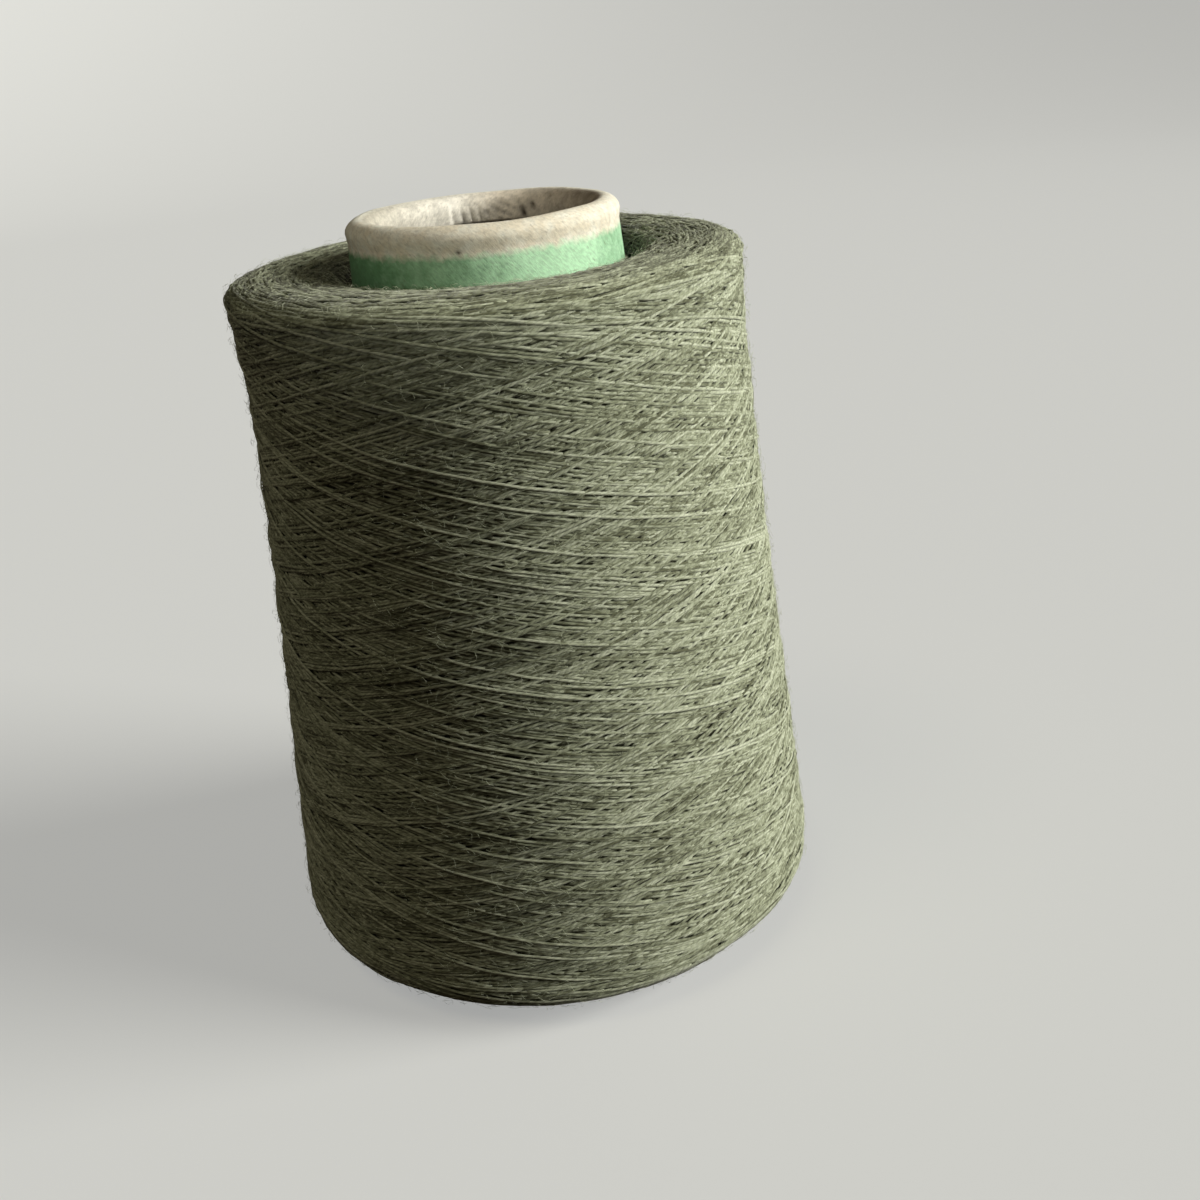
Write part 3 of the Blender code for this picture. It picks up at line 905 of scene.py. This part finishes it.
shows = (height + THREAD_PRESSED > beside - COVERED) & (lift > DEEPEST_SEEN)
bedded, proud = -NESTED * (1.0 - np.exp(lift / NESTED)), PROUD * (1.0 - np.exp(-lift / PROUD))
lift = np.where(lift < 0.0, bedded, proud) - SEATED
for _ in range(UNDER_LAP):
    wider = shows.copy()
    wider[1:] |= shows[:-1]
    wider[:-1] |= shows[1:]
    shows = wider
new_stroke = np.concatenate([[True], stroke_of[1:] != stroke_of[:-1]])
starts = shows & (np.concatenate([[True], ~shows[:-1]]) | new_stroke)
run_of = np.cumsum(starts) - 1
run_length = np.bincount(run_of[shows], minlength=starts.sum())
start_at = np.flatnonzero(starts)[run_of.clip(0)]
length_here = run_length[run_of.clip(0)]
position = np.arange(len(shows)) - start_at
last = shows & (position == length_here - 1)
kept = shows & (length_here >= SHORTEST_RUN) & ((position % RING_STRIDE == 0) | last)
from_end = np.minimum(position, length_here - 1 - position).clip(0)
lift = lift - END_DIVE * (1.0 - from_end / UNDER_LAP).clip(0.0)


def joined_mesh(name, points, corners, sizes):
    """A piece of many small closed parts, from its faces' corners in order and the faces' sizes."""
    mesh = bpy.data.meshes.new(name)
    mesh.vertices.add(len(points))
    mesh.vertices.foreach_set("co", points.ravel())
    mesh.loops.add(len(corners))
    mesh.loops.foreach_set("vertex_index", corners.astype(np.int32))
    mesh.polygons.add(len(sizes))
    mesh.polygons.foreach_set("loop_start", (np.cumsum(sizes) - sizes).astype(np.int32))
    mesh.update(calc_edges=True)
    mesh.shade_smooth()
    piece = bpy.data.objects.new(name, mesh)
    bpy.context.scene.collection.objects.link(piece)
    return piece


def thread_piece(name, angle, place, lift, run, along_mm, tone):
    """Closed three-sided threads, one for each run of samples, with coordinates for the twist."""
    centre, way = package_point(angle, place, lift)
    first = np.concatenate([[True], run[1:] != run[:-1]])
    final = np.concatenate([first[1:], [True]])
    ahead = np.where(final[:, None], centre, np.roll(centre, -1, axis=0))
    behind = np.where(first[:, None], centre, np.roll(centre, 1, axis=0))
    course = ahead - behind
    course /= np.linalg.norm(course, axis=1, keepdims=True)
    side = np.cross(course, way)
    side /= np.linalg.norm(side, axis=1, keepdims=True)
    top = centre + THREAD_TOP * THREAD_RADIUS * way
    right = centre + THREAD_RADIUS * (side - THREAD_FOOT * way)
    left = centre - THREAD_RADIUS * (side + THREAD_FOOT * way)
    points = np.stack([top, right, left], axis=1).reshape(-1, 3)
    ring = np.flatnonzero(~final)
    quads, rounds = [], []
    for here, there, from_round, to_round in ((0, 1, 0.0, 0.25), (1, 2, 0.25, 0.75), (2, 0, 0.75, 1.0)):
        quad = np.array([here, there, 3 + there, 3 + here])
        quads.append(3 * ring[:, None] + quad)
        rounds.append(np.tile([from_round, to_round, to_round, from_round], (len(ring), 1)))
    quads, rounds = np.concatenate(quads), np.concatenate(rounds)
    caps_start = 3 * np.flatnonzero(first)[:, None] + np.array([0, 2, 1])
    caps_end = 3 * np.flatnonzero(final)[:, None] + np.array([0, 1, 2])
    caps = np.concatenate([caps_start, caps_end])
    corners = np.concatenate([quads.ravel(), caps.ravel()])
    piece = joined_mesh(name, points, corners, np.repeat([4, 3], [len(quads), len(caps)]))
    twist = piece.data.uv_layers.new(name="thread")
    cap_round = np.repeat([[0.0, 0.75, 0.25], [0.0, 0.25, 0.75]], len(caps_start), axis=0)
    round_at = np.concatenate([rounds.ravel(), cap_round.ravel()])
    values = np.stack([along_mm[corners // 3], round_at], axis=1)
    twist.uv.foreach_set("vector", values.astype(np.float32).ravel())
    shade = piece.data.attributes.new("tone", "FLOAT", "POINT")
    shade.data.foreach_set("value", np.repeat(tone, 3).astype(np.float32))
    piece.data.set_sharp_from_angle(angle=math.radians(110.0))
    return piece


along_mm = (np.arange(len(shows)) * LAY_STEP / MM) % 1000.0


# Melange wool, spun in two plies and matte: dyed and undyed fibres mixed before spinning, so the colour
# changes in short streaks along the thread, and from thread to thread. The plies show as slanted beads.
# Painted shade darkens the grooves between the plies, each thread's sides and the threads that lie deep.
WOOL_DARK = "#65684F"
WOOL_COLOUR = "#A4AA8E"
WOOL_PALE = "#CDD3B9"
PLY_TURN = 3.0  # millimetres for one turn of the twist
STREAK_LENGTH = 2.0  # millimetres; real fibre streaks are finer than the render shows
STREAK_ROUND = 0.35
SIDE_SHADE = 0.52  # a thread's sides lie in the shade of its neighbours
PLY_SHADE = 0.72  # so does the groove between its plies
PLY_BUMP = 0.045 * MM
WOOL_ROUGHNESS = 0.9
WOOL_SHEEN = 0.15

wool, tree, surface = new_material("melange_wool_two_ply")
twist_map = add_node(tree, "UVMap", uv_map="thread")
along_thread, round_thread, _ = add_node(tree, "SeparateXYZ", (twist_map,)).outputs
tone_value = add_node(tree, "Attribute", attribute_name="tone").outputs["Fac"]
turns_along = add_node(tree, "Math", (along_thread, 1.0 / PLY_TURN), operation="MULTIPLY")
phase = add_node(tree, "Math", (turns_along, round_thread), operation="ADD")
phase_turn = add_node(tree, "Math", (phase, math.tau), operation="MULTIPLY")
cosine = add_node(tree, "Math", (phase_turn,), operation="COSINE")
ply = add_node(tree, "Math", (cosine,), operation="ABSOLUTE")
round_turn = add_node(tree, "Math", (round_thread, math.tau), operation="MULTIPLY")
round_cos = add_node(tree, "Math", (round_turn,), operation="COSINE")
round_sin = add_node(tree, "Math", (round_turn,), operation="SINE")
streak_along = add_node(tree, "Math", (along_thread, 1.0 / STREAK_LENGTH), operation="MULTIPLY")
across_cos = add_node(tree, "Math", (round_cos, STREAK_ROUND), operation="MULTIPLY")
across_sin = add_node(tree, "Math", (round_sin, STREAK_ROUND), operation="MULTIPLY")
streak_place = add_node(tree, "CombineXYZ", (streak_along, across_cos, across_sin))
streaks = add_node(tree, "TexNoise", {"Vector": streak_place, "Scale": 1.0, "Detail": 1.5})
shade = add_node(tree, "MapRange", (tone_value, 0.0, 1.0, -0.01, 0.33))
deep = add_node(tree, "MapRange", (tone_value, -2.0, 0.0, 0.05))
mixed = add_node(tree, "Math", (streaks, 0.68, shade), operation="MULTIPLY_ADD")
heather = add_node(tree, "ValToRGB", (mixed,), (
    (0.3, WOOL_DARK), (0.5, WOOL_COLOUR), (0.72, WOOL_PALE),
))
# Painted shade: darker in the grooves between the plies, on threads whose tone is below 0, and on each
# thread's sides.
groove = add_node(tree, "MapRange", (ply, 0.0, 0.7, PLY_SHADE))
groove = add_node(tree, "Math", (groove, deep), operation="MULTIPLY")
crown = add_node(tree, "MapRange", (round_cos, 0.0, 0.8, SIDE_SHADE))
groove = add_node(tree, "Math", (groove, crown), operation="MULTIPLY")
plied = add_node(tree, "Mix", (1.0, heather, groove), data_type="RGBA", blend_type="MULTIPLY")
relief = add_node(tree, "Math", (streaks, 0.5, ply), operation="MULTIPLY_ADD")
bump = add_node(tree, "Bump", {"Height": relief, "Distance": PLY_BUMP})
set_inputs(surface, {
    "Base Color": plied,
    "Normal": bump,
    "Roughness": WOOL_ROUGHNESS,
    "Specular IOR Level": 0.25,
    "Sheen Weight": WOOL_SHEEN,
    "Sheen Roughness": 0.5,
})

# Four pieces, one for each quarter round: a run belongs to the quarter of its first sample.
sector = np.floor((angle % math.tau) / math.tau * 4).astype(int)[start_at]
for number in range(4):
    chosen = kept & (sector == number)
    samples_of = [values[chosen] for values in (angle, place, lift, run_of, along_mm, tone)]
    piece = thread_piece(f"turns_{number + 1}", *samples_of)
    piece.data.materials.append(wool)
    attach(piece, "root")
    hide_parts("yarn_package")


# Stray fibres: ends and loops of wool that work out of the thread and stand off the package as a soft
# fuzz. Each is a slim closed spindle, bent over, and they are joined in one mesh.
FIBRES = 16000
FIBRE_RADIUS = 0.028 * MM
FIBRE_LENGTH = (1.2 * MM, 4.0 * MM)
FIBRE_RISE = (0.1 * MM, 1.25 * MM)
FIBRE_LIFT = (-0.1, 0.35)  # millimetres; where their roots lie
FIBRE_LOWNESS = 2.5  # most of them stay low
FIBRE_BEND = 0.6
FIBRE_STRAY = 0.5  # radians off the way round
NOSE_FIBRES = FIBRES // 16  # and more of them close to the cone
NOSE_FIBRE_REACH = 3.0 * MM
FIBRE_SEED = 31

rng = np.random.default_rng(FIBRE_SEED)
root_angle = rng.uniform(0.0, math.tau, FIBRES)
root_place = rng.uniform(0.0, outline_end, FIBRES)
root_place[:NOSE_FIBRES] = rng.uniform(0.0, NOSE_FIBRE_REACH, NOSE_FIBRES)
root_radius = np.interp(root_place, outline_places, outline_radius)
root_lift = rng.uniform(*FIBRE_LIFT, FIBRES) * MM
heading = rng.normal(0.0, FIBRE_STRAY, FIBRES) + np.where(rng.uniform(size=FIBRES) < 0.5, 0.0, math.pi)
reach = rng.uniform(*FIBRE_LENGTH, FIBRES)
rise = rng.uniform(0.0, 1.0, FIBRES) ** FIBRE_LOWNESS * (FIBRE_RISE[1] - FIBRE_RISE[0]) + FIBRE_RISE[0]
free_end = rng.uniform(size=FIBRES) < 0.5
bend = rng.normal(0.0, FIBRE_BEND, FIBRES)
path = []
for share in (0.0, 0.36, 0.72, 1.0):
    way_along = heading + bend * share
    at_angle = root_angle + reach * share * np.cos(way_along) / root_radius
    at_place = (root_place + reach * share * np.sin(way_along)).clip(0.0, outline_end)
    lifted = root_lift + rise * np.where(free_end, share**1.4, 4.0 * share * (1.0 - share))
    path.append(package_point(at_angle, at_place, lifted))
course = path[3][0] - path[0][0]
course /= np.linalg.norm(course, axis=1, keepdims=True)
rows_of_points = [path[0][0]]
for centre, way in path[1:3]:
    side = np.cross(course, way)
    side /= np.linalg.norm(side, axis=1, keepdims=True)
    up = np.cross(side, course)
    for turn in (math.pi / 2, math.pi / 2 - math.tau / 3, math.pi / 2 + math.tau / 3):
        rows_of_points.append(centre + FIBRE_RADIUS * (math.sin(turn) * up + math.cos(turn) * side))
rows_of_points.append(path[3][0])
points = np.stack(rows_of_points, axis=1).reshape(-1, 3)
faces = [(0, 2, 1), (0, 3, 2), (0, 1, 3), (7, 4, 5), (7, 5, 6), (7, 6, 4)]
faces += [(1, 2, 5), (1, 5, 4), (2, 3, 6), (2, 6, 5), (3, 1, 4), (3, 4, 6)]
corners = (8 * np.arange(FIBRES)[:, None, None] + np.array(faces)).ravel()
fibres_piece = joined_mesh("stray_fibres", points, corners, np.full(len(corners) // 3, 3))

# A loose wool fibre: matte, and painted as pale as the palest in the mix, a painted highlight where it
# catches the light.
fluff, tree, surface = new_material("loose_wool_fibre")
place = add_node(tree, "TexCoord").outputs["Object"]
mix_of_fibres = add_node(tree, "TexNoise", {"Vector": place, "Scale": 1.0 / (2.0 * MM)})
fibre_tone = add_node(tree, "ValToRGB", (mix_of_fibres,), ((0.35, WOOL_COLOUR), (0.65, WOOL_PALE)))
set_inputs(surface, {"Base Color": fibre_tone, "Roughness": 0.8})
fibres_piece.data.materials.append(fluff)
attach(fibres_piece, "root")
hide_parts("yarn_package")
